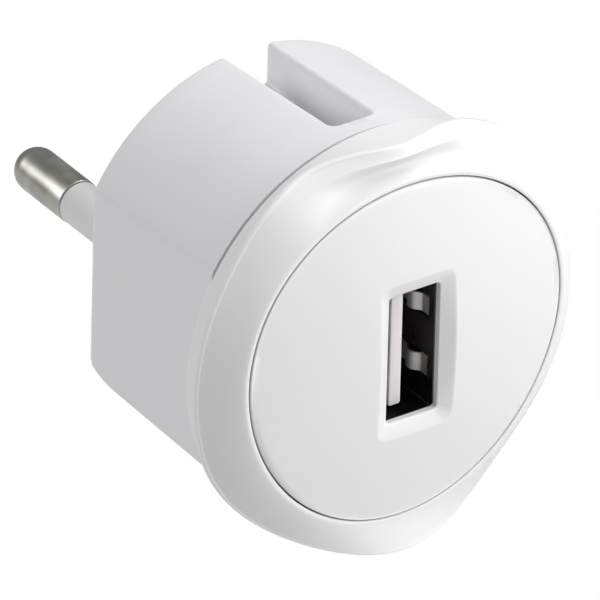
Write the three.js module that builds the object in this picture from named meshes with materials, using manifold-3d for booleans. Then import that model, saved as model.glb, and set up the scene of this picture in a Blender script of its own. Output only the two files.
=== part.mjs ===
// USB wall charger: a round two-pin mains plug body with a lobed front flange, a domed front
// disc and one upright USB-A socket. Millimetres. X is right as seen from the front, +Y runs
// back into the wall and +Z is up. The origin is the middle of the rear face, between the pins.
import * as THREE from "three";
import { ConvexGeometry } from "three/addons/geometries/ConvexGeometry.js";
import { ParametricGeometry } from "three/addons/geometries/ParametricGeometry.js";
import { mergeVertices } from "three/addons/utils/BufferGeometryUtils.js";
import Module from "manifold-3d";

const wasm = await Module();
wasm.setup();

// ---------------------------------------------------------------- driving dimensions
const GAP = 0.3; // running gap between neighbouring pieces
const FIT = 0.05; // clearance between pieces that touch or are pressed together
const THROUGH = 1; // how far a cutter stands past the face that it opens

const REAR_RADIUS = 17.3; // plug body at its rear face
const DRAFT = 0.04; // growth of the body's radius per mm towards the front
const BODY_DEPTH = 18.6; // rear face to the back of the flange
const REAR_EDGE = 0.7; // rounding of the body's rear edge
const FLAT_X = 15.15; // side flats, at the rear face
const FLAT_DRAFT = 0.025; // growth of FLAT_X per mm towards the front
const WALL = 1.5;
const FLOOR = 2.2;

const GROOVE_HALF_REAR = 2.15; // earth-clip groove, half width at its open rear end
const GROOVE_HALF_FRONT = 2.08;
const GROOVE_LENGTH = 16;
const GROOVE_FLOOR_Z = 13.3;
const POCKET_Z = 10; // blind hole for a socket's own earth pin
const POCKET_RADIUS = 2.6;
const POCKET_WALL = 0.7;
const POCKET_DEPTH = 15.6;

const PIN_LENGTH = 19;
const PIN_RADIUS = 2;
const PIN_BASE_X = 9.3;
const PIN_TIP_X = 8.75;
const PIN_INSIDE = 6.5; // how far the pin runs inside the body
const BARE_LENGTH = 8.3; // metal end beyond the sleeve
const SLEEVE_RADIUS = 1.93;
const SLEEVE_INSIDE = 4;
const CORE_RADIUS = 1.42;
const PIN_LEAN = Math.atan((PIN_BASE_X - PIN_TIP_X) / PIN_LENGTH);

const FLANGE_REAR_RADIUS = 18.5;
const BACK_STEP_RADIUS = 16.3; // the flange's back is free outside this radius, on the flats
const RIM_RADIUS = 19.08;
const RIM_SHOULDERS = 0.6; // the rim is a little fuller towards the top corners,
const RIM_HIPS = 0.3; // fuller still below the middle,
const RIM_TOP_CUT = 0.3; // and a little flatter across the top
const RIM_Y = -21; // front edge of the flange's side band
const LIP_FORWARD = 1.75; // how far the rim sweeps forward at the top,
const NOTCH_BACK = 0.35; // back on both sides of that lip,
const CHIN_FORWARD = 3.75; // and forward again in the chin at the bottom
const FACE_Y = -23.85; // front edge of the flange, around the disc
const FACE_SLOPE_POWER = 1.25; // 1 is a straight slope from the face down to the rim
const SCOOP_DEPTH = 1.3; // finger scoop between the disc and the lip at the top
const SCOOP_END = 0.71; // where the lip starts, as a share of the face's width
const SCOOP_SKEW = 0.65; // below 1 moves the deepest line towards the disc
const SCOOP_HALF_TURN = 27; // degrees on each side of the top

const DISC_RADIUS = 15.65;
const DISC_LOBE = 0.25;
const DISC_GAP = 0.22;
const DISC_SEAT_Y = -22;
const DISC_THICKNESS = 1.85;
const DOME_HEIGHT = 2.2;

const PORT_HALF_X = 2.6; // opening in the disc
const PORT_HALF_Z = 6.1;
const PORT_Y = -25.1;
const BEVEL_X = 1.3; // bevelled recess around the opening
const BEVEL_Z = 1.35;
const BEVEL_DEPTH = 0.85;

const SHELL_HALF_X = 2.86; // metal USB shell, outside
const SHELL_HALF_Z = 6.55;
const SHELL_WALL = 0.3;
const SHELL_FRONT_Y = -24.35;
const SHELL_REAR_Y = -11.2;
const TONGUE_FACE_X = -0.06; // contact side of the tongue
const TONGUE_THICKNESS = 1.84;
const TONGUE_HALF_Z = 5.55;
const TONGUE_FRONT_Y = -23.4;
const TONGUE_ROOT_Y = -13.2;
const CONTACT_Z = [-3.5, -1, 1, 3.5];
const CONTACT_WIDTH = 1;
const CONTACT_THICKNESS = 0.25;
const CHANNEL_WIDTH = 1.3;
const CHANNEL_DEPTH = 0.85;
const CONTACT_BACK_X = TONGUE_FACE_X - 0.49; // underside of a contact blade
const CONTACT_TIP_Y = -22.4;
const FINGER_Z = 2.9;
const FINGER_WIDTH = 2;
const FINGER_ROOT_Y = -23.4;
const FINGER_LENGTH = 4.8;
const FINGER_BUMP = 0.4; // how far the finger's bend stands into the port
const WINDOW_MARGIN = 0.15;

const BOARD_REAR_Y = -9.7;
const BOARD_THICKNESS = 1.2;
const BOARD_FRONT_Y = BOARD_REAR_Y - BOARD_THICKNESS;
const BOARD_RADIUS = 14.6;
const BOARD_HALF_X = 12.9;

const ROUND_STEPS = 64; // facets round the body
const SMALL_STEPS = 20; // facets round a pin or a component

// ---------------------------------------------------------------- materials
const material = (color, roughness, metalness = 0) =>
  new THREE.MeshStandardMaterial({ color, roughness, metalness });

const WHITE_SHELL = material(0xeceded, 0.42);
const WHITE_FRONT = material(0xf0f0f0, 0.36);
const WHITE_TONGUE = material(0xe6e0e2, 0.5);
const SLEEVE_GREY = material(0xd9dadb, 0.45);
const NICKEL = material(0xa9a6a0, 0.28, 1);
const TIN_STEEL = material(0xb8babc, 0.3, 1);
const GOLD_CONTACT = material(0xc9a861, 0.3, 1);
const BOARD_GREEN = material(0x2f6b3c, 0.6);
const FERRITE = material(0x35363a, 0.7);
const BOBBIN_BLACK = material(0x1d1e20, 0.5);
const COPPER_WIRE = material(0xb06a35, 0.35, 1);
const CAN_BLACK = material(0x23262d, 0.4);
const RESIN_BLACK = material(0x1a1a1c, 0.6);
const RESIN_BLUE = material(0x2f5f9e, 0.4);
const RESIN_GREEN = material(0x5f9a86, 0.5);

// ---------------------------------------------------------------- solids
// A closed three.js geometry as a solid that can be joined and cut.
function solid(geometry) {
  const plain = geometry.clone();
  plain.deleteAttribute("normal");
  plain.deleteAttribute("uv");
  const merged = mergeVertices(plain, 1e-4);
  const vertProperties = merged.attributes.position.array;
  const triVerts = new Uint32Array(merged.index.array);
  const made = new wasm.Manifold(
    new wasm.Mesh({ numProp: 3, vertProperties, triVerts }),
  );
  if (made.volume() > 0) return made;
  for (let i = 0; i < triVerts.length; i += 3) {
    [triVerts[i], triVerts[i + 1]] = [triVerts[i + 1], triVerts[i]];
  }
  return new wasm.Manifold(
    new wasm.Mesh({ numProp: 3, vertProperties, triVerts }),
  );
}

function geometryOf(made) {
  const mesh = made.getMesh();
  const geometry = new THREE.BufferGeometry();
  geometry.setAttribute(
    "position",
    new THREE.BufferAttribute(mesh.vertProperties, 3),
  );
  geometry.setIndex(new THREE.BufferAttribute(mesh.triVerts, 1));
  geometry.computeVertexNormals();
  return geometry;
}

const charger = new THREE.Group();

function addPiece(name, made, look) {
  const mesh = new THREE.Mesh(geometryOf(made), look);
  mesh.name = name;
  charger.add(mesh);
}

// A box between two x, two y and two z limits, given in either order.
function block([x0, x1], [y0, y1], [z0, z1]) {
  const box = new THREE.BoxGeometry(
    Math.abs(x1 - x0),
    Math.abs(y1 - y0),
    Math.abs(z1 - z0),
  );
  box.translate((x0 + x1) / 2, (y0 + y1) / 2, (z0 + z1) / 2);
  return solid(box);
}

// A round bar along Y between two depths.
function roundBar(radius, y0, y1, x = 0, z = 0, steps = SMALL_STEPS) {
  const bar = new THREE.CylinderGeometry(
    radius,
    radius,
    Math.abs(y1 - y0),
    steps,
  );
  bar.translate(x, (y0 + y1) / 2, z);
  return solid(bar);
}

// A turned solid about Y; the profile's points are [radius, y].
function turned(profile, steps = ROUND_STEPS) {
  const points = profile.map(([radius, y]) => new THREE.Vector2(radius, y));
  return solid(new THREE.LatheGeometry(points, steps));
}

// A shape drawn in X and Y, extruded along Z.
function plan(shape, z0, z1) {
  const made = new THREE.ExtrudeGeometry(shape, {
    depth: z1 - z0,
    bevelEnabled: false,
    curveSegments: 6,
  });
  made.translate(0, 0, z0);
  return solid(made);
}

// A shape drawn in X and Z, extruded along Y from y0 (nearer the wall) to y1.
function elevation(shape, y0, y1) {
  const made = new THREE.ExtrudeGeometry(shape, {
    depth: y0 - y1,
    bevelEnabled: false,
    curveSegments: 6,
  });
  made.rotateX(Math.PI / 2);
  made.translate(0, y0, 0);
  return solid(made);
}

const polygon = (points) =>
  new THREE.Shape(points.map(([x, y]) => new THREE.Vector2(x, y)));

// Points of a quarter-circle fillet, from one tangent angle to the next.
function arcPoints(cx, cy, radius, from, to, steps = 4) {
  return Array.from({ length: steps + 1 }, (_, i) => {
    const angle = from + ((to - from) * i) / steps;
    return [cx + radius * Math.cos(angle), cy + radius * Math.sin(angle)];
  });
}

const joinAll = (parts) => parts.reduce((a, b) => a.add(b));
const cutAll = (body, cutters) =>
  cutters.reduce((a, cutter) => a.subtract(cutter), body);
const mirrorZ = (made) => made.mirror([0, 0, 1]);

// ---------------------------------------------------------------- outlines of the front
const LOBE_ANGLE = Math.PI / 6; // one of three lobes points 30 degrees above +X

// Radius of the front disc: nearly round, with three faint lobes.
const discRadius = (angle) =>
  DISC_RADIUS + DISC_LOBE * Math.cos(3 * (angle - LOBE_ANGLE));

// Degrees away from the top of the flange, the same on both sides.
const fromTop = (angle) =>
  THREE.MathUtils.radToDeg(Math.abs(Math.atan2(Math.cos(angle), Math.sin(angle))));

// 1 at distance 0, fading away over the width on both sides.
const hump = (distance, width) => Math.exp(-((distance / width) ** 2));

// Radius of the flange's rim: nearly a circle, with shoulders and hips.
function rimRadius(angle) {
  const top = fromTop(angle);
  const fuller = RIM_SHOULDERS * hump(top - 37, 15) + RIM_HIPS * hump(top - 118, 20);
  return RIM_RADIUS + fuller - RIM_TOP_CUT * hump(top, 14);
}

// The rim comes forward in the lip at the top and in the chin at the bottom.
function rimDepth(angle) {
  const top = fromTop(angle);
  const forward = LIP_FORWARD * hump(top, 13) + CHIN_FORWARD * hump(180 - top, 28);
  return RIM_Y - forward + NOTCH_BACK * hump(top - 25, 8);
}

// Depth of the flange's face; share runs from 0 at the disc's seat to 1 at the rim.
function faceDepth(angle, share) {
  const slope = (rimDepth(angle) - FACE_Y) * share ** FACE_SLOPE_POWER;
  const scooped = Math.min(1, share / SCOOP_END) ** SCOOP_SKEW;
  const around = Math.exp(-((fromTop(angle) / SCOOP_HALF_TURN) ** 4));
  return FACE_Y + slope + SCOOP_DEPTH * around * Math.sin(Math.PI * scooped);
}

function lobedShape(radiusAt, steps) {
  return polygon(
    Array.from({ length: steps }, (_, i) => {
      const angle = (2 * Math.PI * i) / steps;
      return [
        radiusAt(angle) * Math.cos(angle),
        radiusAt(angle) * Math.sin(angle),
      ];
    }),
  );
}

// ---------------------------------------------------------------- rear housing
const bodyRadius = (y) => REAR_RADIUS + DRAFT * Math.abs(y);

// The body without its flats: inset is 0 for the outside and the wall for the cavity.
function bodyRound(inset, yRear, yFront, edge) {
  const rearRadius = bodyRadius(yRear) - inset;
  return turned([
    [0, yFront],
    [bodyRadius(yFront) - inset, yFront],
    ...arcPoints(rearRadius - edge, yRear - edge, edge, 0, Math.PI / 2, 3),
    [0, yRear],
  ]);
}

// Everything between the two drafted side flats.
function betweenFlats(inset) {
  const tall = 2 * REAR_RADIUS;
  const front = -BODY_DEPTH - THROUGH;
  const rearX = FLAT_X - inset - FLAT_DRAFT * THROUGH;
  const frontX = FLAT_X - inset + FLAT_DRAFT * Math.abs(front);
  return plan(
    polygon([
      [-rearX, THROUGH],
      [-frontX, front],
      [frontX, front],
      [rearX, THROUGH],
    ]),
    -tall,
    tall,
  );
}

// The earth-clip groove, or the block of wall round it when inset is the wall.
function groove(inset) {
  const corner = 1.2;
  const half = GROOVE_HALF_FRONT + inset;
  const front = -GROOVE_LENGTH - inset;
  const outline = polygon([
    [GROOVE_HALF_REAR + inset, THROUGH],
    [-GROOVE_HALF_REAR - inset, THROUGH],
    ...arcPoints(corner - half, front + corner, corner, Math.PI, 1.5 * Math.PI),
    ...arcPoints(half - corner, front + corner, corner, 1.5 * Math.PI, 2 * Math.PI),
  ]);
  return plan(outline, GROOVE_FLOOR_Z - inset, 2 * REAR_RADIUS);
}

// A round bar along a pin's own axis, which leans inwards towards the tip.
function alongPin(side, radius, yInner, yOuter) {
  const bar = new THREE.CylinderGeometry(
    radius,
    radius,
    yOuter - yInner,
    SMALL_STEPS,
  );
  bar.translate(0, (yInner + yOuter) / 2, 0);
  return placeOnPin(side, solid(bar));
}

function placeOnPin(side, made) {
  const lean = THREE.MathUtils.radToDeg(PIN_LEAN);
  return made.rotate([0, 0, side * lean]).translate([side * PIN_BASE_X, 0, 0]);
}

const HOOK_ANGLES = [45, 135, 225, 315].map(THREE.MathUtils.degToRad);
const HOOK_RADIUS = 15.6; // middle of a snap hook's thickness
const HOOK_WIDTH = 5;
const HOOK_THICKNESS = 0.9;
const HOOK_LENGTH = 6;
const BARB = 0.55; // how far the barb stands out
const BARB_LENGTH = 1.6;

// A block placed on the circle of snap hooks: radial, depth and width sizes.
function onHookCircle(angle, [r0, r1], [y0, y1], width) {
  const degrees = THREE.MathUtils.radToDeg(angle);
  return block([r0, r1], [y0, y1], [-width / 2, width / 2]).rotate([0, -degrees, 0]);
}

function rearHousing() {
  const outside = bodyRound(0, 0, -BODY_DEPTH, REAR_EDGE).intersect(betweenFlats(0));
  const cavityEdge = 0.5;
  const grooveWall = 1.2;
  const pocketEnd = -POCKET_DEPTH - 1; // front of the closed tube round the pocket
  const cavityRound = bodyRound(WALL, -FLOOR, -BODY_DEPTH - THROUGH, cavityEdge);
  const keepClear = [groove(grooveWall), mirrorZ(groove(grooveWall))];
  keepClear.push(roundBar(POCKET_RADIUS + POCKET_WALL, THROUGH, pocketEnd, 0, POCKET_Z));
  const bossRadius = 3.4;
  const bossDepth = 6;
  for (const side of [-1, 1]) {
    keepClear.push(alongPin(side, bossRadius, -bossDepth, THROUGH));
  }
  const ribAngles = [35, 145, 215, 325].map(THREE.MathUtils.degToRad);
  const ribInner = 14; // the ribs carry the circuit board
  const ribWidth = 1.2;
  for (const angle of ribAngles) {
    keepClear.push(
      onHookCircle(angle, [ribInner, REAR_RADIUS], [THROUGH, BOARD_REAR_Y + GAP], ribWidth),
    );
  }
  const cavity = cutAll(cavityRound.intersect(betweenFlats(WALL)), keepClear);
  const barbFront = -BODY_DEPTH + HOOK_LENGTH - BARB_LENGTH;
  const barbPockets = HOOK_ANGLES.map((angle) =>
    onHookCircle(
      angle,
      [HOOK_RADIUS, HOOK_RADIUS + HOOK_THICKNESS / 2 + BARB + GAP],
      [barbFront - GAP, barbFront + BARB_LENGTH + GAP],
      HOOK_WIDTH + 2 * GAP,
    ),
  );
  const pinClearance = 0.1;
  const pinHoles = [-1, 1].map((side) =>
    alongPin(side, SLEEVE_RADIUS + pinClearance, -bossDepth - THROUGH, THROUGH),
  );
  const pocket = roundBar(POCKET_RADIUS, THROUGH, -POCKET_DEPTH, 0, POCKET_Z);
  return cutAll(outside, [
    cavity,
    groove(0),
    mirrorZ(groove(0)),
    pocket,
    ...pinHoles,
    ...barbPockets,
  ]);
}

// ---------------------------------------------------------------- front flange and disc
// The flange is a ring: its section runs from the disc's ledge over the face and its scoop to
// the rim, along the side band and across the flat back.
function flangeSection(angle) {
  const seat = discRadius(angle) + DISC_GAP;
  const rim = rimRadius(angle);
  const edge = 0.15; // of the flange's face next to the disc
  const shares = [0, 0.12, 0.3, 0.5, SCOOP_END, 0.85];
  const face = shares.map((share) => [
    seat + edge + (rim - seat - edge) * share,
    faceDepth(angle, share),
  ]);
  const innerRadius = 14;
  const ledgeRadius = 13.7;
  return [
    [ledgeRadius, DISC_SEAT_Y],
    [seat, DISC_SEAT_Y],
    [seat, FACE_Y + edge],
    ...face,
    [rim, rimDepth(angle)],
    [FLANGE_REAR_RADIUS, -BODY_DEPTH],
    [BACK_STEP_RADIUS, -BODY_DEPTH],
    [innerRadius, -BODY_DEPTH],
    [ledgeRadius, -BODY_DEPTH - 1],
  ];
}

function frontFlange() {
  const around = 96;
  const corners = flangeSection(0).length;
  const surface = new ParametricGeometry(
    (u, v, target) => {
      const angle = 2 * Math.PI * (u % 1);
      const section = flangeSection(angle);
      const [radius, y] = section[Math.round(v * corners) % corners];
      target.set(radius * Math.cos(angle), y, radius * Math.sin(angle));
    },
    around,
    corners,
  );
  const hooks = HOOK_ANGLES.map((angle) => {
    const root = -BODY_DEPTH - 0.5; // inside the ring, to join it
    const tip = -BODY_DEPTH + HOOK_LENGTH;
    const inner = HOOK_RADIUS - HOOK_THICKNESS / 2;
    const outer = HOOK_RADIUS + HOOK_THICKNESS / 2;
    return onHookCircle(angle, [inner, outer], [root, tip], HOOK_WIDTH).add(
      onHookCircle(angle, [inner, outer + BARB], [tip - BARB_LENGTH, tip], HOOK_WIDTH),
    );
  });
  return joinAll([solid(surface), ...hooks]);
}

// A spherical cap's profile, from the axis at its crown down to the rim and back along the rear.
function domeProfile(radius, rimY, crownY, rearY) {
  const steps = 6;
  const front = Array.from({ length: steps + 1 }, (_, i) => {
    const r = (radius * i) / steps;
    return [r, crownY + (rimY - crownY) * (r / radius) ** 2];
  });
  return [...front, [radius, rearY], [0, rearY]];
}

// The four-sided bevelled recess, as the hull of its wide mouth and its narrow floor.
function portRecess() {
  const corner = 1;
  const outlineAt = (halfX, halfZ, y) =>
    [0, 1, 2, 3].flatMap((quarter) => {
      const from = (quarter * Math.PI) / 2;
      const sx = quarter === 0 || quarter === 3 ? 1 : -1;
      const sz = quarter < 2 ? 1 : -1;
      const centreX = sx * (halfX - corner);
      const centreZ = sz * (halfZ - corner);
      return arcPoints(centreX, centreZ, corner, from, from + Math.PI / 2, 3).map(
        ([x, z]) => new THREE.Vector3(x, y, z),
      );
    });
  const grow = 2; // the recess is cut on past the dome at the same slope
  const mouthY = PORT_Y - BEVEL_DEPTH * grow;
  return solid(
    new ConvexGeometry([
      ...outlineAt(PORT_HALF_X + 0.05, PORT_HALF_Z + 0.05, PORT_Y),
      ...outlineAt(PORT_HALF_X + BEVEL_X * grow, PORT_HALF_Z + BEVEL_Z * grow, mouthY),
    ]),
  );
}

function frontDisc() {
  const crownY = FACE_Y - DOME_HEIGHT;
  const widest = DISC_RADIUS + DISC_LOBE + THROUGH;
  const dome = turned(domeProfile(widest, FACE_Y + 0.2, crownY, DISC_SEAT_Y));
  const outline = elevation(lobedShape(discRadius, 72), 0, 2 * crownY);
  const hollow = turned(
    domeProfile(
      DISC_RADIUS - 3.2,
      FACE_Y + DISC_THICKNESS - 0.2,
      crownY + DISC_THICKNESS,
      DISC_SEAT_Y + THROUGH,
    ),
    48,
  );
  const collar = block(
    [-PORT_HALF_X - 1.2, PORT_HALF_X + 1.2],
    [DISC_SEAT_Y, crownY + 0.5],
    [-PORT_HALF_Z - 1.2, PORT_HALF_Z + 1.2],
  );
  const shellHole = block(
    [-SHELL_HALF_X - 0.2, SHELL_HALF_X + 0.2],
    [DISC_SEAT_Y + THROUGH, SHELL_FRONT_Y - 0.02],
    [-SHELL_HALF_Z - 0.2, SHELL_HALF_Z + 0.2],
  );
  const opening = block(
    [-PORT_HALF_X, PORT_HALF_X],
    [DISC_SEAT_Y, 2 * crownY],
    [-PORT_HALF_Z, PORT_HALF_Z],
  );
  const body = dome.intersect(outline).subtract(hollow).add(collar.intersect(dome));
  return cutAll(body, [shellHole, opening, portRecess()]);
}

// ---------------------------------------------------------------- pins
function pin(side) {
  const bareFrom = PIN_LENGTH - BARE_LENGTH;
  const edge = 0.12;
  const tip = arcPoints(0, PIN_LENGTH - PIN_RADIUS, PIN_RADIUS, 0, Math.PI / 2, 6);
  const profile = [
    [0, -PIN_INSIDE],
    [CORE_RADIUS, -PIN_INSIDE],
    [CORE_RADIUS, bareFrom],
    [PIN_RADIUS - edge, bareFrom],
    [PIN_RADIUS, bareFrom + edge],
    ...tip.slice(0, -1),
    [0, PIN_LENGTH],
  ];
  return placeOnPin(side, turned(profile, SMALL_STEPS));
}

function pinSleeve(side) {
  const end = PIN_LENGTH - BARE_LENGTH - FIT;
  const outer = alongPin(side, SLEEVE_RADIUS, -SLEEVE_INSIDE, end);
  return outer.subtract(
    alongPin(side, CORE_RADIUS + FIT, -SLEEVE_INSIDE - THROUGH, PIN_LENGTH),
  );
}

// A bent strip that presses on the pin's inner end and is soldered to the board.
function pinStrip(side) {
  const inner = -PIN_INSIDE - FIT;
  const pinX = side * (PIN_BASE_X + PIN_INSIDE * Math.tan(PIN_LEAN));
  const thickness = 0.4;
  const halfWidth = 1.1;
  const reach = 1.6; // from the pin's middle to the strip's bend
  const foot = pinX - side * reach;
  return block([pinX + side, foot], [inner, inner - thickness], [-halfWidth, halfWidth]).add(
    block([foot, foot + side * thickness], [inner, BOARD_REAR_Y + FIT], [-halfWidth, halfWidth]),
  );
}

// ---------------------------------------------------------------- USB socket
const fingerWindow = (side, z) => {
  const half = FINGER_WIDTH / 2 + WINDOW_MARGIN;
  const front = FINGER_ROOT_Y - WINDOW_MARGIN;
  const rear = FINGER_ROOT_Y + FINGER_LENGTH + WINDOW_MARGIN;
  const outer = side * (SHELL_HALF_X + THROUGH);
  return block([side, outer], [front, rear], [z - half, z + half]);
};

const FINGERS = [
  ["usb_spring_upper_right", 1, FINGER_Z],
  ["usb_spring_lower_right", 1, -FINGER_Z],
  ["usb_spring_upper_left", -1, FINGER_Z],
  ["usb_spring_lower_left", -1, -FINGER_Z],
];

function usbShell() {
  const outer = block(
    [-SHELL_HALF_X, SHELL_HALF_X],
    [SHELL_FRONT_Y, SHELL_REAR_Y],
    [-SHELL_HALF_Z, SHELL_HALF_Z],
  );
  const inner = block(
    [SHELL_WALL - SHELL_HALF_X, SHELL_HALF_X - SHELL_WALL],
    [SHELL_FRONT_Y - THROUGH, SHELL_REAR_Y + THROUGH],
    [SHELL_WALL - SHELL_HALF_Z, SHELL_HALF_Z - SHELL_WALL],
  );
  const windows = FINGERS.map(([, side, z]) => fingerWindow(side, z));
  return cutAll(outer, [inner, ...windows]);
}

// A spring finger of the shell: flat at its front root, bent in to a rounded bump near its tip.
function usbSpring(side, z) {
  const out = SHELL_HALF_X;
  const t = SHELL_WALL;
  const at = (share) => FINGER_ROOT_Y + FINGER_LENGTH * share;
  const path = [
    [0, 0],
    [0.25, 0],
    [0.5, 0.55 * FINGER_BUMP],
    [0.66, FINGER_BUMP],
    [0.8, FINGER_BUMP],
    [1, 0.35 * FINGER_BUMP],
  ];
  const outerFace = path.map(([share, inward]) => [side * (out - inward), at(share)]);
  const innerFace = path.map(([share, inward]) => [side * (out - t - inward), at(share)]);
  return plan(
    polygon([...outerFace, ...innerFace.reverse()]),
    z - FINGER_WIDTH / 2,
    z + FINGER_WIDTH / 2,
  );
}

function usbTongue() {
  const clear = 0.06;
  const halfX = SHELL_HALF_X - SHELL_WALL - clear;
  const halfZ = SHELL_HALF_Z - SHELL_WALL - clear;
  const rear = block([-halfX, halfX], [TONGUE_ROOT_Y, SHELL_REAR_Y], [-halfZ, halfZ]);
  const tongue = block(
    [TONGUE_FACE_X - TONGUE_THICKNESS, TONGUE_FACE_X],
    [TONGUE_FRONT_Y, TONGUE_ROOT_Y + 0.5],
    [-TONGUE_HALF_Z, TONGUE_HALF_Z],
  );
  const channels = CONTACT_Z.map((z) =>
    block(
      [TONGUE_FACE_X - CHANNEL_DEPTH, TONGUE_FACE_X + THROUGH / 2],
      [CONTACT_TIP_Y - 0.4, SHELL_REAR_Y + THROUGH],
      [z - CHANNEL_WIDTH / 2, z + CHANNEL_WIDTH / 2],
    ),
  );
  return cutAll(rear.add(tongue), channels);
}

// The springing blade of one contact, with its rounded bump standing out of the tongue.
function usbContact(z) {
  const back = CONTACT_BACK_X;
  const t = CONTACT_THICKNESS;
  const bump = 0.62;
  const crest = CONTACT_TIP_Y + 1.1;
  const path = [
    [TONGUE_ROOT_Y - 2 * FIT, 0],
    [crest + 1.7, 0],
    [crest + 0.5, 0.9 * bump],
    [crest, bump],
    [crest - 0.5, 0.9 * bump],
    [CONTACT_TIP_Y, 0.3 * bump],
  ];
  const under = path.map(([y, rise]) => [back + rise, y]);
  const over = path.map(([y, rise]) => [back + t + rise, y]);
  return plan(
    polygon([...under, ...over.reverse()]),
    z - CONTACT_WIDTH / 2,
    z + CONTACT_WIDTH / 2,
  );
}

// The fixed rear end of a contact, which runs through the insulator to the board.
function usbTerminal(z) {
  return block(
    [CONTACT_BACK_X, CONTACT_BACK_X + CONTACT_THICKNESS],
    [TONGUE_ROOT_Y + 2 * FIT, BOARD_FRONT_Y - FIT],
    [z - CONTACT_WIDTH / 2, z + CONTACT_WIDTH / 2],
  );
}

// ---------------------------------------------------------------- circuit board and parts
function circuitBoard() {
  const far = BOARD_RADIUS + THROUGH;
  const all = [0, -BODY_DEPTH];
  const pocketHalf = 4.2; // notch round the earth-pin pocket and the upper groove
  const pocketLow = 5.9;
  const grooveHalf = 3.8; // notch round the lower groove
  const grooveHigh = -11.7;
  const disc = roundBar(BOARD_RADIUS, BOARD_REAR_Y, BOARD_FRONT_Y, 0, 0, 48);
  const sides = block([-BOARD_HALF_X, BOARD_HALF_X], all, [-far, far]);
  const pocketNotch = block([-pocketHalf, pocketHalf], all, [pocketLow, far]);
  const grooveNotch = block([-grooveHalf, grooveHalf], all, [-far, grooveHigh]);
  return cutAll(disc.intersect(sides), [pocketNotch, grooveNotch]);
}

// A can standing on the board: beaded near its foot and rounded at its top.
function capacitor(x, z, radius, height) {
  const foot = BOARD_FRONT_Y - FIT;
  const top = foot - height;
  const shoulder = 0.5;
  const bead = 0.25; // a rolled groove, this deep
  const beadAt = foot - 1.3;
  const beadHalf = 0.3;
  const can = turned(
    [
      [0, top],
      [radius - shoulder, top],
      [radius, top + shoulder],
      [radius, beadAt - beadHalf],
      [radius - bead, beadAt],
      [radius, beadAt + beadHalf],
      [radius, foot],
      [0, foot],
    ],
    SMALL_STEPS,
  );
  return can.translate([x, 0, z]);
}

const TRANSFORMER_X = 8.4;
const CORE_HALF_X = 2.5;
const CORE_HALF_Z = 6.2;
const CORE_FRONT_Y = -21.4;
const CORE_REAR_Y = -11.3;
const CORE_SPLIT_Y = (CORE_FRONT_Y + CORE_REAR_Y) / 2;
const YOKE = 1.5;
const CENTRE_LEG = 1.6; // half width
const OUTER_LEG = 1.5;

// One E-shaped half of the transformer's core, opening towards the other half.
function coreHalf(backY, openY) {
  const x = [TRANSFORMER_X - CORE_HALF_X, TRANSFORMER_X + CORE_HALF_X];
  const direction = Math.sign(openY - backY);
  const yoke = backY + direction * YOKE;
  const windows = [-1, 1].map((s) =>
    block(x.map((v, i) => v + (i ? 1 : -1)), [yoke, openY + direction], [
      s * CENTRE_LEG,
      s * (CORE_HALF_Z - OUTER_LEG),
    ]),
  );
  return cutAll(block(x, [backY, openY], [-CORE_HALF_Z, CORE_HALF_Z]), windows);
}

const BOBBIN_FRONT_Y = CORE_FRONT_Y + YOKE + 0.1;
const BOBBIN_REAR_Y = CORE_REAR_Y - YOKE - 0.1;
const BOBBIN_WALL = 0.5;
const CHEEK = 0.6;
const CHEEK_HALF_Z = CORE_HALF_Z - OUTER_LEG - 0.1;
const CHEEK_HALF_X = 4.1;

function transformerBobbin() {
  const sides = [CORE_HALF_X + 0.1 + BOBBIN_WALL, CENTRE_LEG + 0.1 + BOBBIN_WALL];
  const tube = block(
    [TRANSFORMER_X - sides[0], TRANSFORMER_X + sides[0]],
    [BOBBIN_FRONT_Y, BOBBIN_REAR_Y],
    [-sides[1], sides[1]],
  );
  const cheeks = [BOBBIN_FRONT_Y, BOBBIN_REAR_Y - CHEEK].map((y) =>
    block(
      [TRANSFORMER_X - CHEEK_HALF_X, TRANSFORMER_X + CHEEK_HALF_X],
      [y, y + CHEEK],
      [-CHEEK_HALF_Z, CHEEK_HALF_Z],
    ),
  );
  const legHole = block(
    [TRANSFORMER_X - CORE_HALF_X - 0.1, TRANSFORMER_X + CORE_HALF_X + 0.1],
    [BOBBIN_FRONT_Y - THROUGH, BOBBIN_REAR_Y + THROUGH],
    [-CENTRE_LEG - 0.1, CENTRE_LEG + 0.1],
  );
  return joinAll([tube, ...cheeks]).subtract(legHole);
}

function transformerWinding() {
  const y = [BOBBIN_FRONT_Y + CHEEK + 0.05, BOBBIN_REAR_Y - CHEEK - 0.05];
  const inner = [CORE_HALF_X + BOBBIN_WALL + 0.15, CENTRE_LEG + BOBBIN_WALL + 0.15];
  const outer = [CHEEK_HALF_X - 0.25, CHEEK_HALF_Z - 0.35];
  const ring = ([hx, hz], from, to) =>
    block([TRANSFORMER_X - hx, TRANSFORMER_X + hx], [from, to], [-hz, hz]);
  return ring(outer, y[0], y[1]).subtract(ring(inner, y[0] - THROUGH, y[1] + THROUGH));
}

// A low package lying on one face of the board, with a chamfered top edge.
function chip(x, z, width, depth, height, faceY, outward) {
  const base = faceY + outward * FIT;
  const top = faceY + outward * height;
  const edge = 0.2;
  const corners = (inset, y) =>
    [-1, 1].flatMap((sx) =>
      [-1, 1].map(
        (sz) =>
          new THREE.Vector3(
            x + sx * (width / 2 - inset),
            y,
            z + sz * (depth / 2 - inset),
          ),
      ),
    );
  return solid(
    new ConvexGeometry([
      ...corners(0, base),
      ...corners(0, top - outward * edge),
      ...corners(edge, top),
    ]),
  );
}

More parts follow.
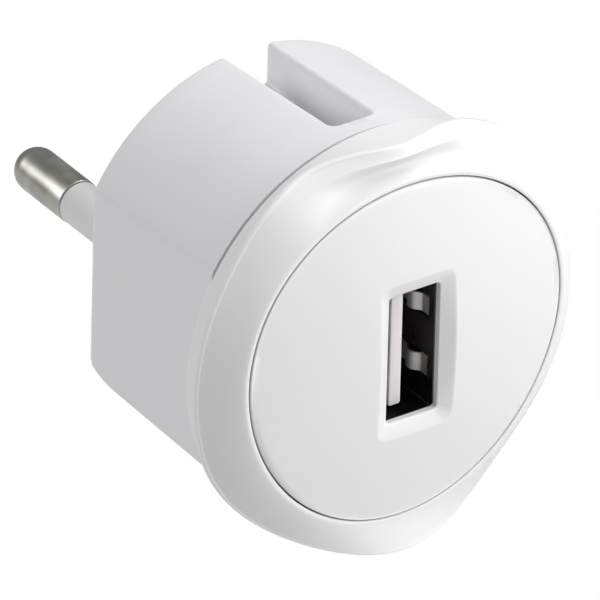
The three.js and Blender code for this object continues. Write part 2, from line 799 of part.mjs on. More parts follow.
// A resistor lying along X behind the board, thicker at its two ends.
function fuseResistor(z) {
  const radius = 1.7;
  const waist = 1.4;
  const half = 4.5;
  const cap = 2; // length of each thicker end
  const edge = 0.4;
  const lift = 2.1;
  const end = (side) => [
    [waist, side * half],
    [radius, side * (half - edge)],
    [radius, side * (half - cap + edge)],
    [waist, side * (half - cap)],
  ];
  const profile = [[0, -half], ...end(-1), ...end(1).reverse(), [0, half]];
  return turned(profile, SMALL_STEPS)
    .rotate([0, 0, 90])
    .translate([0, BOARD_REAR_Y + lift, z]);
}

// A drum choke standing behind the board: two cheeks and a narrower wound waist.
function inputChoke(x, z) {
  const foot = BOARD_REAR_Y + FIT;
  const height = 5.6;
  const cheek = 0.9;
  const radius = 2.5;
  const waist = 2.1;
  return turned(
    [
      [0, foot],
      [radius, foot],
      [radius, foot + cheek],
      [waist, foot + cheek],
      [waist, foot + height - cheek],
      [radius, foot + height - cheek],
      [radius, foot + height],
      [0, foot + height],
    ],
    SMALL_STEPS,
  ).translate([x, 0, z]);
}

// A dipped disc capacitor standing on edge behind the board: a lens with a rounded rim.
function safetyCapacitor(x, z) {
  const radius = 3.1;
  const half = 1.4;
  const lift = 3.3;
  const side = (sign) => [
    [0, sign * half],
    [0.77 * radius, sign * 0.86 * half],
    [radius, sign * 0.36 * half],
  ];
  const disc = turned([...side(-1), ...side(1).reverse()], SMALL_STEPS);
  return disc.rotate([0, 0, 90]).translate([x, BOARD_REAR_Y + lift, z]);
}

// ---------------------------------------------------------------- assembly
addPiece("rear_housing", rearHousing(), WHITE_SHELL);
addPiece("front_flange", frontFlange(), WHITE_SHELL);
addPiece("front_disc", frontDisc(), WHITE_FRONT);

for (const [word, side] of [["left", -1], ["right", 1]]) {
  addPiece("pin_" + word, pin(side), NICKEL);
  addPiece("pin_sleeve_" + word, pinSleeve(side), SLEEVE_GREY);
  addPiece("pin_strip_" + word, pinStrip(side), TIN_STEEL);
}

addPiece("usb_shell", usbShell(), TIN_STEEL);
addPiece("usb_tongue", usbTongue(), WHITE_TONGUE);
CONTACT_Z.forEach((z, i) => {
  addPiece("usb_contact_" + (i + 1), usbContact(z), GOLD_CONTACT);
  addPiece("usb_terminal_" + (i + 1), usbTerminal(z), GOLD_CONTACT);
});
for (const [name, side, z] of FINGERS) {
  addPiece(name, usbSpring(side, z), TIN_STEEL);
}

addPiece("circuit_board", circuitBoard(), BOARD_GREEN);
addPiece("transformer_core_front", coreHalf(CORE_FRONT_Y, CORE_SPLIT_Y - FIT), FERRITE);
addPiece("transformer_core_rear", coreHalf(CORE_REAR_Y, CORE_SPLIT_Y + FIT), FERRITE);
addPiece("transformer_bobbin", transformerBobbin(), BOBBIN_BLACK);
addPiece("transformer_winding", transformerWinding(), COPPER_WIRE);

// Mains capacitors: two tall cans side by side, left of the socket.
const INPUT_CAN = { x: -9.2, z: 3.6, radius: 3.15, height: 10.8 };
for (const [word, side] of [["upper", 1], ["lower", -1]]) {
  const { x, z, radius, height } = INPUT_CAN;
  addPiece("input_capacitor_" + word, capacitor(x, side * z, radius, height), CAN_BLACK);
}

// Output capacitors: two shorter cans below the socket.
const OUTPUT_CAN = { x: 6.9, z: -9.9, radius: 2.7, height: 7.2 };
for (const [word, side] of [["left", -1], ["right", 1]]) {
  const { x, z, radius, height } = OUTPUT_CAN;
  addPiece("output_capacitor_" + word, capacitor(side * x, z, radius, height), CAN_BLACK);
}

// Packages above the socket, on the board's front, and between the pins, on its rear.
const FRONT_CHIP_Z = 9.3;
const optocoupler = chip(7.4, FRONT_CHIP_Z, 4.6, 3.6, 2.4, BOARD_FRONT_Y, -1);
const diode = chip(-7.6, FRONT_CHIP_Z, 4.6, 2.8, 2.2, BOARD_FRONT_Y, -1);
const rectifier = chip(0, 3, 4.8, 3.9, 1.6, BOARD_REAR_Y, 1);
const controller = chip(0, -2, 5, 4, 1.6, BOARD_REAR_Y, 1);
addPiece("optocoupler", optocoupler, RESIN_BLACK);
addPiece("output_diode", diode, RESIN_BLACK);
addPiece("bridge_rectifier", rectifier, RESIN_BLACK);
addPiece("controller_chip", controller, RESIN_BLACK);

addPiece("fuse_resistor", fuseResistor(-6.6), RESIN_GREEN);
addPiece("input_choke", inputChoke(-6.6, -9), FERRITE);
addPiece("safety_capacitor", safetyCapacitor(6.8, -8.6), RESIN_BLUE);

export default charger;
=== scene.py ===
"""Looks of the USB wall charger: fine outer shapes and procedural materials around the CAD frame.

Lengths inside the shape functions are millimetres; add_piece() turns them into metres. X is right
as seen from the front, +Y runs back into the wall and +Z is up, as in the frame.
"""

import math

import bmesh
import bpy
import numpy as np
from mathutils import Matrix, Vector


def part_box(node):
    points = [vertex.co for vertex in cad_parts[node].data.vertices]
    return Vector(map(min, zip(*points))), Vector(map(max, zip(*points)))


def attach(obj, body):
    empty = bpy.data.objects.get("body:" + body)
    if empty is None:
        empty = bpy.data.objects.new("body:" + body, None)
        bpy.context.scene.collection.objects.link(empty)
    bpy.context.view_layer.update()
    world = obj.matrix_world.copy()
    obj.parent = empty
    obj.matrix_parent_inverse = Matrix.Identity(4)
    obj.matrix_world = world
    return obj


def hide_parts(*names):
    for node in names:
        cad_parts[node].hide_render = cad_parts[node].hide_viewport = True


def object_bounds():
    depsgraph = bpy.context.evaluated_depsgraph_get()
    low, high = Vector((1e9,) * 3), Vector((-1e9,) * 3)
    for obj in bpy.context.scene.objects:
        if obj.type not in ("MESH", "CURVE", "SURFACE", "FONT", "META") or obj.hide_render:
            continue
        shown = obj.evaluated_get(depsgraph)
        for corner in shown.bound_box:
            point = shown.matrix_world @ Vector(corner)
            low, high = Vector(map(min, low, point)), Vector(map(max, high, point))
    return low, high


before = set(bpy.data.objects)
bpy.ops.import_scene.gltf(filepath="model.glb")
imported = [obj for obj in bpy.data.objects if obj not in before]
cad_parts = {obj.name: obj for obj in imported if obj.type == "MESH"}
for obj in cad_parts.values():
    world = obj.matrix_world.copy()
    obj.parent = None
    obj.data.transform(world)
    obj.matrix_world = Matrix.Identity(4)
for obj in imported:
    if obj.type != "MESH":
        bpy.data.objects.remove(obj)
CAD_LOW, CAD_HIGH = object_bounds()

MM = 0.001
TAU = 2 * math.pi


def node_box(name):
    """Lowest and highest corner of a CAD node, in millimetres."""
    low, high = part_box(name)
    return [c / MM for c in low], [c / MM for c in high]


# ---------------------------------------------------------------- sizes from the frame
HOUSING_LOW, HOUSING_HIGH = node_box("rear_housing")
DISC_LOW = node_box("front_disc")[0]
PIN_LOW, PIN_HIGH = node_box("pin_right")
SLEEVE_LOW, SLEEVE_HIGH = node_box("pin_sleeve_right")
SHELL_LOW, SHELL_HIGH = node_box("usb_shell")
TONGUE_LOW, TONGUE_HIGH = node_box("usb_tongue")

# The body tapers towards its rear face: a round section cut by two flats.
BODY_FRONT_Y = HOUSING_LOW[1]
BODY_FRONT_RADIUS = HOUSING_HIGH[2]
DRAFT = 0.04
REAR_RADIUS = BODY_FRONT_RADIUS + DRAFT * BODY_FRONT_Y
FLAT_DRAFT = 0.025
FLAT_REAR_X = 15.15
WALL = 1.5
FLOOR = 2.2
HOUSING_FRONT_Y = BODY_FRONT_Y + 0.03
SEAM_DEPTH = 0.5

# Grooves for the earth clips, and the blind pocket for an earth pin.
GROOVE_HALF_REAR = 2.15
GROOVE_HALF_FRONT = 2.08
GROOVE_FRONT_Y = -16.0
GROOVE_FLOOR_Z = 13.3
GROOVE_CORNER = 1.2
GROOVE_NARROW = GROOVE_HALF_FRONT - GROOVE_CORNER
POCKET_Z = 10.0
POCKET_RADIUS = 2.6
POCKET_DEPTH = 15.6

# The pins lean together from the rear face to their tips.
PIN_RADIUS = 2.0
PIN_TIP_Y = PIN_HIGH[1]
PIN_INNER_Y = PIN_LOW[1]
PIN_BASE_X = 9.3
PIN_TIP_X = 8.75
PIN_LENGTH = 19
PIN_LEAN = math.atan((PIN_BASE_X - PIN_TIP_X) / PIN_LENGTH)
SLEEVE_END_Y = SLEEVE_HIGH[1]
SLEEVE_INNER_Y = SLEEVE_LOW[1]
SLEEVE_RADIUS = 1.93
CORE_RADIUS = 1.42

# The flange's rim is nearly round, and its depth waves forward and back round the charger.
FLANGE_BACK_Y = BODY_FRONT_Y
FLANGE_BACK_RADIUS = 18.5
FLANGE_BORE = 13.7
RIM_RADIUS = 19.08
RIM_SHOULDERS = 0.6
RIM_HIPS = 0.3
RIM_TOP_CUT = 0.3
RIM_Y = -21.0
LIP_FORWARD = 1.75
NOTCH_BACK = 0.4
CHIN_FORWARD = 3.75
SCOOP_DEPTH = 1.3
SCOOP_END = 0.71
SCOOP_HALF_TURN = 27
SCOOP_SKEW = 0.65
FACE_SLOPE_POWER = 1.25

# The disc is domed, and very slightly three-lobed.
FACE_Y = -23.85
DISC_RADIUS = 15.65
DISC_LOBE = 0.25
DISC_GAP = 0.14
DISC_SEAT_Y = -22.0
DOME_HEIGHT = FACE_Y - DISC_LOW[1]
DOME_SPHERE = (DISC_RADIUS**2 + DOME_HEIGHT**2) / (2 * DOME_HEIGHT)

PORT_HALF_X = 2.6
PORT_HALF_Z = 6.05
PORT_CORNER = 0.4
PORT_Y = -24.98
RECESS_HALF_X = 3.75
RECESS_HALF_Z = 7.3
SHELL_FRONT_Y = SHELL_LOW[1]
SHELL_WALL = 0.3
WINDOW_MARGIN = 0.15


# ---------------------------------------------------------------- mesh helpers
def add_piece(name, points, faces, material, body, nodes, sharp_degrees=40):
    """A mesh piece from points in millimetres, riding on a body and standing for CAD nodes."""
    mesh = bpy.data.meshes.new(name)
    mesh.from_pydata([tuple(float(c) * MM for c in p) for p in points], [], faces)
    bm = bmesh.new()
    bm.from_mesh(mesh)
    bmesh.ops.remove_doubles(bm, verts=bm.verts, dist=0.002 * MM)
    bmesh.ops.dissolve_degenerate(bm, edges=bm.edges, dist=0.001 * MM)
    bmesh.ops.recalc_face_normals(bm, faces=bm.faces)
    bm.to_mesh(mesh)
    bm.free()
    mesh.shade_smooth()
    mesh.set_sharp_from_angle(angle=math.radians(sharp_degrees))
    piece = bpy.data.objects.new(name, mesh)
    bpy.context.scene.collection.objects.link(piece)
    mesh.materials.append(material)
    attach(piece, body)
    if nodes:
        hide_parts(*nodes)
    return piece


def loft(rings, closed=False, cap_first=False, cap_last=False):
    """Points and quads over rings of equal point count; closed joins the last ring to the first."""
    count = len(rings[0])
    points = [p for ring in rings for p in ring]
    faces = []
    spans = len(rings) if closed else len(rings) - 1
    for i in range(spans):
        a = i * count
        b = ((i + 1) % len(rings)) * count
        for j in range(count):
            k = (j + 1) % count
            faces.append((a + j, a + k, b + k, b + j))
    if cap_first:
        faces.append(tuple(range(count)))
    if cap_last:
        start = (len(rings) - 1) * count
        faces.append(tuple(range(start, start + count)))
    return points, faces


def arc(cx, cy, radius, start, end, steps):
    """Points of an arc between two angles in degrees."""
    angles = [math.radians(start + (end - start) * i / steps) for i in range(steps + 1)]
    return [(cx + radius * math.cos(a), cy + radius * math.sin(a)) for a in angles]


def turned(profile, steps=96):
    """Rings about the Y axis for a profile of (radius, y)."""
    angles = [TAU * i / steps for i in range(steps)]
    return [[(r * math.cos(a), y, r * math.sin(a)) for a in angles] for r, y in profile]


def bump(distance, width):
    """A smooth hump: 1 at no distance, fading over the width."""
    return math.exp(-((distance / width) ** 2))


# ---------------------------------------------------------------- node helpers
class Nodes:
    """A small builder for one material's node tree; noise scales are waves per metre."""

    def __init__(self, name, color, roughness, metallic=0.0):
        self.material = bpy.data.materials.new(name)
        self.material.use_nodes = True
        self.tree = self.material.node_tree
        self.shader = self.tree.nodes["Principled BSDF"]
        self.shader.inputs["Base Color"].default_value = (*color, 1)
        self.shader.inputs["Roughness"].default_value = roughness
        self.shader.inputs["Metallic"].default_value = metallic
        self.material.diffuse_color = (*color, 1)
        self.place = self.add("ShaderNodeTexCoord").outputs["Object"]
        self.last_bump = None

    def add(self, kind, **inputs):
        """A node whose inputs are values or other nodes' outputs."""
        node = self.tree.nodes.new(kind)
        for key, value in inputs.items():
            socket = node.inputs[key.replace("_", " ")]
            if isinstance(value, bpy.types.NodeSocket):
                self.tree.links.new(value, socket)
            else:
                socket.default_value = value
        return node

    def noise(self, per_metre, detail=3.0, stretch=(1, 1, 1), roughness=0.5):
        """Noise over the piece; stretch under 1 draws it out along an axis."""
        mapping = self.add("ShaderNodeMapping", Vector=self.place, Scale=stretch)
        node = self.add("ShaderNodeTexNoise", Scale=per_metre, Detail=detail)
        node.inputs["Roughness"].default_value = roughness
        self.tree.links.new(mapping.outputs[0], node.inputs["Vector"])
        return node.outputs["Fac"]

    def ramp(self, value, low, high, to_low=0.0, to_high=1.0):
        """Moves a value from the span low to high onto the span to_low to to_high."""
        node = self.add("ShaderNodeMapRange", Value=value)
        node.inputs["From Min"].default_value = low
        node.inputs["From Max"].default_value = high
        node.inputs["To Min"].default_value = to_low
        node.inputs["To Max"].default_value = to_high
        return node.outputs[0]

    def mix(self, factor, first, second):
        """A colour between two others."""
        node = self.tree.nodes.new("ShaderNodeMix")
        node.data_type = "RGBA"
        self.tree.links.new(factor, node.inputs["Factor"])
        for socket, value in ((node.inputs["A"], first), (node.inputs["B"], second)):
            if isinstance(value, bpy.types.NodeSocket):
                self.tree.links.new(value, socket)
            else:
                socket.default_value = (*value, 1)
        return node.outputs["Result"]

    def combine(self, operation, first, second):
        """A sum, difference or product of two values."""
        node = self.add("ShaderNodeMath", Value=first)
        node.operation = operation
        self.tree.links.new(second, node.inputs[1])
        return node.outputs[0]

    def set(self, name, value):
        """Gives one of the shader's sockets a value or another node's output."""
        socket = self.shader.inputs[name]
        if isinstance(value, bpy.types.NodeSocket):
            self.tree.links.new(value, socket)
        else:
            socket.default_value = value

    def bump(self, height, strength, distance):
        """Relief from a height, laid over the relief already there; distance is in metres."""
        node = self.add("ShaderNodeBump", Height=height, Strength=strength, Distance=distance)
        if self.last_bump:
            self.tree.links.new(self.last_bump, node.inputs["Normal"])
        self.last_bump = node.outputs["Normal"]
        self.set("Normal", self.last_bump)


def crevice(nodes, reach=0.0012):
    """1 in the open, falling towards 0 where other surfaces crowd within reach, in metres; the
    plastics use it to paint shade into crevices.
    """
    shade = nodes.add("ShaderNodeAmbientOcclusion", Distance=reach)
    shade.samples = 6
    return shade.outputs["AO"]


def edge_highlight_and_wear(nodes, reach=0.0005):
    """0 on flat faces, 1 along edges, found from how far a rounded normal leans away; the plastics
    use it for a painted highlight and smoother worn edges, the ferrite for its chips.

    The reach is in metres, and the cosine of the lean runs from level_cosine to edge_cosine."""
    level_cosine = 0.995
    edge_cosine = 0.95
    rounded = nodes.add("ShaderNodeBevel", Radius=reach)
    rounded.samples = 4
    lean = nodes.tree.nodes.new("ShaderNodeVectorMath")
    lean.operation = "DOT_PRODUCT"
    nodes.tree.links.new(rounded.outputs["Normal"], lean.inputs[0])
    nodes.tree.links.new(nodes.add("ShaderNodeNewGeometry").outputs["Normal"], lean.inputs[1])
    return nodes.ramp(lean.outputs["Value"], level_cosine, edge_cosine)


# ---------------------------------------------------------------- materials
def moulded_plastic(name, color, roughness, grain=0.25, sheen_patches=0.06):
    """Satin moulded plastic: fine spark-eroded grain, faint flow patches, smoother worn edges,
    painted shade darkening its crevices and a painted highlight lightening its edges.
    """
    m = Nodes(name, color, roughness)
    patches = m.noise(90, 2)
    fine = m.noise(5200, 2)
    dust = m.noise(900, 5, roughness=0.7)
    shade = tuple(c * 0.975 for c in color)
    unshaded_tone = m.mix(m.ramp(patches, 0.3, 0.7), shade, color)
    # Painted shade: the colour falls to 72 per cent of itself where the ambient occlusion finds
    # other surfaces close by, in creases, grooves and seams.
    crevice_shade_color = tuple(c * 0.72 for c in color)
    crevice_shaded = m.mix(m.ramp(crevice(m), 0.3, 1.0), crevice_shade_color, unshaded_tone)
    # Painted highlight: the colour lightens by a tenth along edges, where the rounded normal leans
    # away.
    lighter_edge = tuple(min(1.0, c * 1.1) for c in color)
    m.set("Base Color", m.mix(edge_highlight_and_wear(m), crevice_shaded, lighter_edge))
    uneven = m.ramp(patches, 0.3, 0.7, roughness - sheen_patches, roughness + sheen_patches)
    scuffed = m.combine("ADD", m.ramp(dust, 0.55, 0.8, 0, 0.08), uneven)
    m.set("Roughness", m.combine("SUBTRACT", scuffed, m.ramp(edge_highlight_and_wear(m), 0, 1, 0, 0.1)))
    m.bump(fine, grain, 0.00001)
    m.bump(patches, 0.15, 0.00002)
    m.set("Specular IOR Level", 0.3)
    return m.material


def nickel():
    """Nickel plate on a plug pin: smudges, fine scratches along the pin and a brownish bloom."""
    m = Nodes("nickel_plate", (0.60, 0.59, 0.55), 0.35, 1.0)
    along = m.noise(1500, 4, stretch=(1, 0.06, 1))
    rubbed = m.noise(300, 3, stretch=(1, 0.4, 1))
    cloudy = m.noise(210, 2, roughness=0.6)
    m.set("Base Color", m.mix(m.ramp(cloudy, 0.36, 0.62), (0.40, 0.385, 0.335), (0.70, 0.71, 0.68)))
    m.set("Roughness", m.ramp(rubbed, 0.3, 0.7, 0.26, 0.46))
    m.bump(along, 0.3, 0.00001)
    m.bump(cloudy, 0.25, 0.0001)
    return m.material


def sheet_steel(name, color, roughness):
    """Tinned sheet metal: rolling lines and a slightly cloudy tin coat."""
    m = Nodes(name, color, roughness, 1.0)
    rolled = m.noise(2600, 4, stretch=(1, 0.08, 1))
    cloudy = m.noise(320, 3)
    dull = tuple(c * 0.82 for c in color)
    m.set("Base Color", m.mix(m.ramp(cloudy, 0.3, 0.7), dull, color))
    m.set("Roughness", m.ramp(cloudy, 0.3, 0.7, roughness - 0.07, roughness + 0.1))
    m.bump(rolled, 0.3, 0.00001)
    return m.material


def circuit_board():
    """Green solder resist over faint copper areas."""
    m = Nodes("board_resist", (0.02, 0.16, 0.06), 0.35)
    weave = m.add("ShaderNodeTexChecker", Vector=m.place, Scale=1400).outputs["Fac"]
    areas = m.noise(170, 1)
    m.set("Base Color", m.mix(m.ramp(areas, 0.47, 0.5), (0.015, 0.12, 0.045), (0.04, 0.24, 0.08)))
    m.set("Roughness", m.ramp(areas, 0.4, 0.6, 0.3, 0.42))
    m.bump(weave, 0.1, 0.00001)
    m.bump(areas, 0.4, 0.00003)
    return m.material


def ferrite():
    """Sintered ferrite: dark grey, finely pitted, chipped along its edges."""
    m = Nodes("ferrite", (0.045, 0.045, 0.05), 0.55)
    pits = m.noise(2400, 5, roughness=0.7)
    chips = m.noise(700, 3)
    lighter_edge = m.combine("MULTIPLY", edge_highlight_and_wear(m), chips)
    m.set("Base Color", m.mix(lighter_edge, (0.045, 0.045, 0.05), (0.13, 0.13, 0.14)))
    m.set("Roughness", m.ramp(pits, 0.3, 0.7, 0.45, 0.7))
    m.bump(pits, 0.5, 0.00003)
    return m.material


def copper_winding():
    """Enamelled wire laid side by side, with painted shade between the turns and a painted
    highlight on their crests.
    """
    m = Nodes("enamelled_wire", (0.58, 0.24, 0.08), 0.3, 0.85)
    wave = m.add("ShaderNodeTexWave", Vector=m.place, Scale=1400, Distortion=0.4)
    wave.bands_direction = "Y"
    turns = wave.outputs["Fac"]
    # Painted shade and painted highlight: the colour darkens between the turns and lightens on
    # their crests, following the bump's wave.
    m.set("Base Color", m.mix(turns, (0.30, 0.10, 0.03), (0.66, 0.30, 0.11)))
    m.set("Roughness", m.ramp(m.noise(500, 2), 0.3, 0.7, 0.22, 0.4))
    m.bump(turns, 0.8, 0.0001)
    return m.material


def lacquered(name, color, roughness):
    """Dipped or sleeved component: glossy with a slight orange peel."""
    m = Nodes(name, color, roughness)
    peel = m.noise(1300, 2)
    tone = m.noise(240, 2)
    deep = tuple(c * 0.75 for c in color)
    m.set("Base Color", m.mix(m.ramp(tone, 0.3, 0.7), deep, color))
    m.set("Roughness", m.ramp(tone, 0.3, 0.7, roughness - 0.06, roughness + 0.08))
    m.bump(peel, 0.3, 0.00003)
    return m.material


BODY_WHITE = moulded_plastic("body_white", (0.80, 0.797, 0.815), 0.5)
FRONT_WHITE = moulded_plastic("front_white", (0.825, 0.823, 0.832), 0.54, grain=0.12)
SLEEVE_GREY = moulded_plastic("sleeve_grey", (0.72, 0.72, 0.725), 0.4, grain=0.2)
TONGUE_LIGHT = moulded_plastic("tongue_light", (0.80, 0.76, 0.77), 0.45, grain=0.2)
BOBBIN_BLACK = moulded_plastic("bobbin_black", (0.02, 0.02, 0.022), 0.42)
CHIP_RESIN = moulded_plastic("chip_resin", (0.018, 0.018, 0.02), 0.5, grain=0.5)
NICKEL = nickel()
# Painted shade: the shell's colour is near-black with a faint purple cast, standing in for the
# darkness inside the port.
SHELL_STEEL_PAINTED_DARK = sheet_steel("tinned_steel", (0.09, 0.085, 0.095), 0.32)
SPRING_STEEL = sheet_steel("spring_steel", (0.9, 0.9, 0.92), 0.42)
BRASS_STRIP = sheet_steel("rolled_brass", (0.74, 0.56, 0.28), 0.3)
GOLD_CONTACT = sheet_steel("gold_flash", (0.86, 0.64, 0.28), 0.24)
BOARD = circuit_board()
FERRITE = ferrite()
WINDING = copper_winding()
CAN_SLEEVE = lacquered("capacitor_sleeve", (0.03, 0.035, 0.05), 0.3)
RESISTOR = lacquered("resistor_green", (0.16, 0.36, 0.26), 0.35)
SAFETY_BLUE = lacquered("safety_blue", (0.03, 0.13, 0.42), 0.28)

CAD_LOOKS = {
    "pin_strip": BRASS_STRIP,
    "usb_terminal": GOLD_CONTACT,
    "circuit_board": BOARD,
    "transformer_core": FERRITE,
    "transformer_bobbin": BOBBIN_BLACK,
    "transformer_winding": WINDING,
    "input_capacitor": CAN_SLEEVE,
    "output_capacitor": CAN_SLEEVE,
    "optocoupler": CHIP_RESIN,
    "output_diode": CHIP_RESIN,
    "bridge_rectifier": CHIP_RESIN,
    "controller_chip": CHIP_RESIN,
    "fuse_resistor": RESISTOR,
    "input_choke": RESISTOR,
    "safety_capacitor": SAFETY_BLUE,
}


def dress_cad_nodes():
    """Gives each CAD node that keeps its shape its procedural material."""
    for name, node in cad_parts.items():
        for start, look in CAD_LOOKS.items():
            if name.startswith(start):
                node.data.materials.clear()
                node.data.materials.append(look)


# ---------------------------------------------------------------- rear housing
def soft_corner(circle, flat, softness=16.0):
    """The nearer of two limits, blended smoothly where they cross."""
    total = math.exp(-softness * circle) + math.exp(-softness * flat)
    return -math.log(total) / softness


def quarter_outline(radius, flat_x, half, floor_z):
    """Right upper quarter of the body's section, from the groove's middle to the side.

    Each point is (x, z, whether it belongs to the groove)."""
    mouth = 0.38  # rounding where the groove's wall meets the round side
    foot = 0.3  # rounding where the wall meets the groove's floor
    floor = [(half - foot) * i / 3 for i in range(3)]
    points = [(x, floor_z, True) for x in floor]
    for x, z in arc(half - foot, floor_z + foot, foot, -90, 0, 4):
        points.append((x, z, True))
    centre_z = math.sqrt((radius - mouth) ** 2 - (half + mouth) ** 2)
    wall_from = floor_z + foot
    for share in (0.33, 0.66):
        points.append((half, wall_from + (centre_z - wall_from) * share, True))
    end = math.degrees(math.atan2(centre_z, half + mouth))
    for x, z in arc(half + mouth, centre_z, mouth, 180, end, 5):
        points.append((x, z, True))
    steps = 84
    least_cosine = 0.05  # keeps the flat's limit finite towards the top
    for i in range(1, steps + 1):
        angle = math.radians(end * (1 - i / steps))
        reach = soft_corner(radius, flat_x / max(math.cos(angle), least_cosine))
        points.append((reach * math.cos(angle), reach * math.sin(angle), False))
    return points


def body_ring(y, shrink=0.0, half=GROOVE_NARROW, floor_z=GROOVE_FLOOR_Z, flush=1.0, flat_share=1.0):
    """One closed section of the body, shrunk all round and, by its own share, at the flats.

    The groove has a half width and a floor, and flush 1 fills it up to the round surface."""
    radius = REAR_RADIUS - DRAFT * y - shrink
    flat_x = FLAT_REAR_X - FLAT_DRAFT * y - shrink * flat_share
    quarter = []
    for x, z, in_groove in quarter_outline(radius, flat_x, half, floor_z):
        if in_groove:
            skin = math.sqrt(radius**2 - x**2)
            z = z * (1 - flush) + skin * flush
        quarter.append((x, z))
    right = quarter + [(x, -z) for x, z in reversed(quarter[:-1])]
    left = [(-x, -z) for x, z in quarter[1:]] + [(-x, z) for x, z in reversed(quarter[1:-1])]
    return [(x, y, z) for x, z in right + left]


def groove_stations():
    """(y, half width, floor z, flush) from the rear face to just in front of the groove."""
    stations = []
    corner_y = GROOVE_FRONT_Y + GROOVE_CORNER
    for share in (0.0, 0.1, 0.3, 0.5, 0.7, 0.85, 1.0):
        half = GROOVE_HALF_REAR + (GROOVE_HALF_FRONT - GROOVE_HALF_REAR) * share
        stations.append((corner_y * share, half, GROOVE_FLOOR_Z, 0.0))
    foot = 0.35  # rounding between the floor and the front wall
    corner_steps = 8
    for i in range(1, corner_steps + 1):
        turn = math.radians(90 * i / corner_steps)
        y = corner_y - GROOVE_CORNER * math.sin(turn)
        half = GROOVE_HALF_FRONT - GROOVE_CORNER * (1 - math.cos(turn))
        lift = max(0.0, (GROOVE_FRONT_Y + foot) - y)
        rise = foot - math.sqrt(max(0.0, foot**2 - lift**2))
        stations.append((y, half, GROOVE_FLOOR_Z + rise, 0.0))
    wall_foot_z = GROOVE_FLOOR_Z + foot
    for flush in (0.3, 0.6, 0.9):
        stations.append((GROOVE_FRONT_Y, GROOVE_NARROW, wall_foot_z, flush))
    edge = 0.08
    edge_flush = 0.94
    edge_steps = 5
    for i in range(1, edge_steps + 1):
        turn = math.radians(90 * i / edge_steps)
        y = GROOVE_FRONT_Y - edge * (1 - math.cos(turn))
        flush = edge_flush + (1 - edge_flush) * math.sin(turn)
        stations.append((y, GROOVE_NARROW, wall_foot_z, flush))
    return stations


def circle_on_rear(x, z, radius, y, steps=48):
    """A circle that faces the rear."""
    angles = [TAU * i / steps for i in range(steps)]
    return [(x + radius * math.cos(a), y, z + radius * math.sin(a)) for a in angles]


def blind_hole(x, z, radius, depth, edge):
    """Rings of a hole in the rear face, from its rounded mouth to its floor."""
    mouth = arc(radius + edge, -edge, edge, 90, 180, 4)
    rings = [circle_on_rear(x, z, r, y) for r, y in mouth]
    rings.append(circle_on_rear(x, z, radius, -depth))
    return rings


def outer_skin():
    """Rings of the body's outside, from the rear face's rounded edge to the seam at the flange."""
    edge = 0.55
    edge_steps = 6
    edge_flat_share = 0.4  # the edge is tighter along the flats
    rings = []
    for i in range(edge_steps):
        turn = math.radians(90 * i / edge_steps)
        shrink = edge * (1 - math.sin(turn))
        y = -edge * (1 - math.cos(turn))
        opening = min(shrink, 0.35)
        half = GROOVE_HALF_REAR + opening
        rings.append(body_ring(y, shrink, half, GROOVE_FLOOR_Z - opening, 0.0, edge_flat_share))
    behind_edge = [station for station in groove_stations() if station[0] < -edge]
    for y, half, floor_z, flush in [(-edge, GROOVE_HALF_REAR, GROOVE_FLOOR_Z, 0.0), *behind_edge]:
        rings.append(body_ring(y, 0.0, half, floor_z, flush))
    rings.append(body_ring(GROOVE_FRONT_Y - 0.9))
    rings.append(body_ring(GROOVE_FRONT_Y - 1.6))
    for back, shrink in ((0.8, 0.0), (0.72, 0.02), (0.68, 0.09), (0.66, SEAM_DEPTH)):
        rings.append(body_ring(BODY_FRONT_Y + back, shrink))
    rings.append(body_ring(HOUSING_FRONT_Y, SEAM_DEPTH))
    return rings


def inner_skin():
    """Rings of the body's inside, from its front opening to the floor behind the rear face."""
    half = GROOVE_HALF_FRONT + WALL
    floor_z = GROOVE_FLOOR_Z - WALL
    web_y = GROOVE_FRONT_Y - WALL
    fillet = 0.6
    return [
        body_ring(HOUSING_FRONT_Y, WALL),
        body_ring(web_y, WALL, half, floor_z),
        body_ring(web_y, WALL, half, floor_z, 0.0),
        body_ring(-FLOOR - fillet, WALL, half, floor_z, 0.0),
        body_ring(-FLOOR, WALL + fillet, half, floor_z, 0.0),
    ]


def add_loft(bm, rings):
    """Adds a capped loft to a mesh and returns its first ring's vertices."""
    points, faces = loft(rings, cap_last=True)
    verts = [bm.verts.new(p) for p in points]
    for face in faces:
        bm.faces.new([verts[i] for i in face])
    return verts[: len(rings[0])]


def rear_housing():
    """The body with its grooves; the rear face is filled in round the pocket and the pin seats."""
    pin_seat_radius = SLEEVE_RADIUS + 0.06
    pin_seat_depth = 3.5
    holes = [blind_hole(0, POCKET_Z, POCKET_RADIUS, POCKET_DEPTH, 0.35)]
    for x in (PIN_BASE_X, -PIN_BASE_X):
        holes.append(blind_hole(x, 0, pin_seat_radius, pin_seat_depth, 0.22))
    bm = bmesh.new()
    borders = [add_loft(bm, rings) for rings in [outer_skin() + inner_skin(), *holes]]
    edges = []
    for border in borders:
        for i, vert in enumerate(border):
            other = border[(i + 1) % len(border)]
            edges.append(bm.edges.get((vert, other)) or bm.edges.new((vert, other)))
    bmesh.ops.triangle_fill(bm, use_beauty=True, edges=edges)
    bm.verts.index_update()
    points = [v.co[:] for v in bm.verts]
    faces = [[v.index for v in f.verts] for f in bm.faces]
    bm.free()
    add_piece("housing_shell", points, faces, BODY_WHITE, "body", ["rear_housing"])


# ---------------------------------------------------------------- front flange
def from_top(angle):
    """Angle between a direction round the Y axis and straight up, to either side, in degrees."""
    return math.degrees(abs(math.atan2(math.cos(angle), math.sin(angle))))


def disc_radius(angle):
    """Radius of the disc's outline, with its three faint lobes."""
    return DISC_RADIUS + DISC_LOBE * math.cos(3 * (angle - math.pi / 6))


